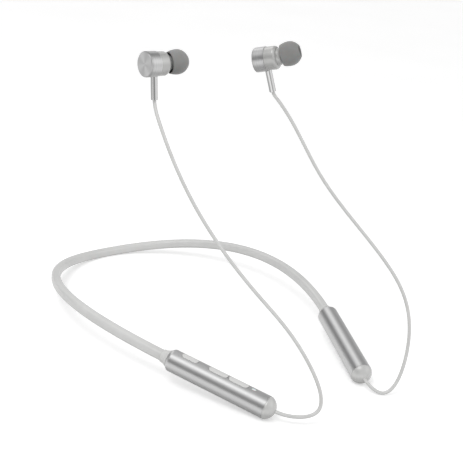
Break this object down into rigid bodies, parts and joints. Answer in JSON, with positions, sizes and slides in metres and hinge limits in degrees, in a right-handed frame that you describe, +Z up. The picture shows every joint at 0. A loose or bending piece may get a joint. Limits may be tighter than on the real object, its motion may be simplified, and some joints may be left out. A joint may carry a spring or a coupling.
{
  "type": "neckband earphones",
  "caption": "Flexible neckband with cylindrical metal pods and thin cables to stemmed metal in-ear earbuds with round silicone tips.",
  "frame": {"origin": "under the middle of the nape, on the plane that the nape and the pod fronts rest on", "axes": "+Z up, -Y the way the wearer faces, +X towards the wearer's left, where the battery pod is"},
  "size_m": [0.1476, 0.2224, 0.169],
  "materials": {
    "silver_tube": "anodised, turned with fine rings",
    "light_grey_plastic": "satin moulded",
    "pearl_plastic": "polished",
    "button_plastic": "polished",
    "band_silicone": "soft satin",
    "cable_jacket": "soft satin",
    "tip_silicone": "soft matte",
    "polished_metal": "polished",
    "spun_metal": "spun in circles",
    "spring_steel": "drawn",
    "loom_jacket": "matte",
    "circuit_board": "solder mask",
    "black_plastic": "moulded",
    "shield_can": "tinned",
    "light_pipe": "frosted",
    "cell_wrap": "shrink wrap",
    "foam": "open cell foam",
    "magnet": "nickel plated",
    "mesh_steel": "woven mesh",
    "film": "thin film"
  },
  "bodies": {
    "nape": {"nape_sleeve": "band_silicone", "nape_memory_wire": "spring_steel", "nape_wire_loom": "loom_jacket"},
    "right_arm": {"right_arm_sleeve": "band_silicone", "right_arm_memory_wire": "spring_steel", "right_arm_wire_loom": "loom_jacket", "control_tube": "silver_tube", "control_rear_collar": "light_grey_plastic", "control_end_cap": "pearl_plastic", "control_chassis": "light_grey_plastic", "control_board": "circuit_board", "bluetooth_module": "shield_can", "tact_switches": "shield_can", "status_light_pipe": "light_pipe", "microphone": "shield_can", "usb_c_receptacle": "shield_can", "right_cable_root": "cable_jacket"},
    "left_arm": {"left_arm_sleeve": "band_silicone", "left_arm_memory_wire": "spring_steel", "left_arm_wire_loom": "loom_jacket", "battery_tube": "silver_tube", "battery_rear_collar": "light_grey_plastic", "battery_end_cap": "pearl_plastic", "battery_cell": "cell_wrap", "battery_protection_board": "circuit_board", "battery_foam_pad": "foam", "left_cable_root": "cable_jacket"},
    "volume_up": {"volume_up_button": "button_plastic"},
    "multifunction": {"multifunction_button": "button_plastic"},
    "volume_down": {"volume_down_button": "button_plastic"},
    "right_cable_turn_link": {"right_cable_turn": "cable_jacket"},
    "right_cable_lower_link": {"right_cable_lower": "cable_jacket"},
    "right_cable_middle_link": {"right_cable_middle": "cable_jacket"},
    "right_cable_upper_link": {"right_cable_upper": "cable_jacket"},
    "right_earbud": {"right_cable_end": "cable_jacket", "right_stem": "polished_metal", "right_barrel": "spun_metal", "right_back_cap": "spun_metal", "right_front_housing": "pearl_plastic", "right_nozzle_mesh": "mesh_steel", "right_driver_frame": "black_plastic", "right_diaphragm": "film", "right_driver_magnet": "magnet", "right_clasp_magnet": "magnet"},
    "right_tip": {"right_ear_tip": "tip_silicone"},
    "left_cable_turn_link": {"left_cable_turn": "cable_jacket"},
    "left_cable_lower_link": {"left_cable_lower": "cable_jacket"},
    "left_cable_middle_link": {"left_cable_middle": "cable_jacket"},
    "left_cable_upper_link": {"left_cable_upper": "cable_jacket"},
    "left_earbud": {"left_cable_end": "cable_jacket", "left_stem": "polished_metal", "left_barrel": "spun_metal", "left_back_cap": "spun_metal", "left_front_housing": "pearl_plastic", "left_nozzle_mesh": "mesh_steel", "left_driver_frame": "black_plastic", "left_diaphragm": "film", "left_driver_magnet": "magnet", "left_clasp_magnet": "magnet"},
    "left_tip": {"left_ear_tip": "tip_silicone"}
  },
  "joints": [
    {"name": "right_arm_flex", "type": "hinge", "parent": "nape", "child": "right_arm", "pos_m": [-0.0508, -0.02601, 0.01007], "axis": [0, 0, -1], "range_deg": [-2, 18], "stiffness_Nm_per_rad": 0.25},
    {"name": "left_arm_flex", "type": "hinge", "parent": "nape", "child": "left_arm", "pos_m": [0.0508, -0.02601, 0.01007], "axis": [0, 0, 1], "range_deg": [-2, 18], "stiffness_Nm_per_rad": 0.25},
    {"name": "volume_up_press", "type": "slide", "parent": "right_arm", "child": "volume_up", "axis": [-0.0517, 0.1161, -0.9919], "range_m": [0, 0.00025], "stiffness_N_per_m": 40},
    {"name": "multifunction_press", "type": "slide", "parent": "right_arm", "child": "multifunction", "axis": [-0.0517, 0.1161, -0.9919], "range_m": [0, 0.00025], "stiffness_N_per_m": 40},
    {"name": "volume_down_press", "type": "slide", "parent": "right_arm", "child": "volume_down", "axis": [-0.0517, 0.1161, -0.9919], "range_m": [0, 0.00025], "stiffness_N_per_m": 40},
    {"name": "right_cable_swing", "type": "hinge", "parent": "right_arm", "child": "right_cable_turn_link", "pos_m": [-0.016, -0.2185, 0.007], "axis": [-0.575, -0.705, 0.415], "range_deg": [-10, 25], "stiffness_Nm_per_rad": 0.01},
    {"name": "right_cable_bend_lower", "type": "hinge", "parent": "right_cable_turn_link", "child": "right_cable_lower_link", "pos_m": [-0.0155, -0.206, 0.03], "axis": [-0.575, -0.705, 0.415], "range_deg": [-5, 12], "stiffness_Nm_per_rad": 0.01},
    {"name": "right_cable_bend_middle", "type": "hinge", "parent": "right_cable_lower_link", "child": "right_cable_middle_link", "pos_m": [-0.0285, -0.1795, 0.056], "axis": [-0.575, -0.705, 0.415], "range_deg": [-5, 12], "stiffness_Nm_per_rad": 0.01},
    {"name": "right_cable_bend_upper", "type": "hinge", "parent": "right_cable_middle_link", "child": "right_cable_upper_link", "pos_m": [-0.045, -0.144, 0.093], "axis": [-0.575, -0.705, 0.415], "range_deg": [-5, 12], "stiffness_Nm_per_rad": 0.01},
    {"name": "right_stem_flex", "type": "hinge", "parent": "right_cable_upper_link", "child": "right_earbud", "pos_m": [-0.0515, -0.1185, 0.1285], "axis": [-0.575, -0.705, 0.415], "range_deg": [-25, 25], "stiffness_Nm_per_rad": 0.003},
    {"name": "right_tip_pull", "type": "slide", "parent": "right_earbud", "child": "right_tip", "axis": [0.9829, -0.1474, 0.1105], "range_m": [0, 0.006]},
    {"name": "left_cable_swing", "type": "hinge", "parent": "left_arm", "child": "left_cable_turn_link", "pos_m": [0.0335, -0.2145, 0.0015], "axis": [0.5859, 0.7309, -0.35], "range_deg": [-10, 25], "stiffness_Nm_per_rad": 0.01},
    {"name": "left_cable_bend_lower", "type": "hinge", "parent": "left_cable_turn_link", "child": "left_cable_lower_link", "pos_m": [0.05, -0.2155, 0.0245], "axis": [0.5859, 0.7309, -0.35], "range_deg": [-5, 12], "stiffness_Nm_per_rad": 0.01},
    {"name": "left_cable_bend_middle", "type": "hinge", "parent": "left_cable_lower_link", "child": "left_cable_middle_link", "pos_m": [0.0465, -0.1935, 0.065], "axis": [0.5859, 0.7309, -0.35], "range_deg": [-5, 12], "stiffness_Nm_per_rad": 0.01},
    {"name": "left_cable_bend_upper", "type": "hinge", "parent": "left_cable_middle_link", "child": "left_cable_upper_link", "pos_m": [0.0255, -0.158, 0.104], "axis": [0.5859, 0.7309, -0.35], "range_deg": [-5, 12], "stiffness_Nm_per_rad": 0.01},
    {"name": "left_stem_flex", "type": "hinge", "parent": "left_cable_upper_link", "child": "left_earbud", "pos_m": [0.013, -0.1315, 0.1385], "axis": [0.5859, 0.7309, -0.35], "range_deg": [-25, 25], "stiffness_Nm_per_rad": 0.003},
    {"name": "left_tip_pull", "type": "slide", "parent": "left_earbud", "child": "left_tip", "axis": [0.5851, -0.7107, 0.3905], "range_m": [0, 0.006]}
  ],
  "couplings": [
    {"joint": "right_cable_bend_middle", "follows": "right_cable_bend_lower", "ratio": 1},
    {"joint": "right_cable_bend_upper", "follows": "right_cable_bend_lower", "ratio": 1},
    {"joint": "left_cable_bend_middle", "follows": "left_cable_bend_lower", "ratio": 1},
    {"joint": "left_cable_bend_upper", "follows": "left_cable_bend_lower", "ratio": 1}
  ]
}
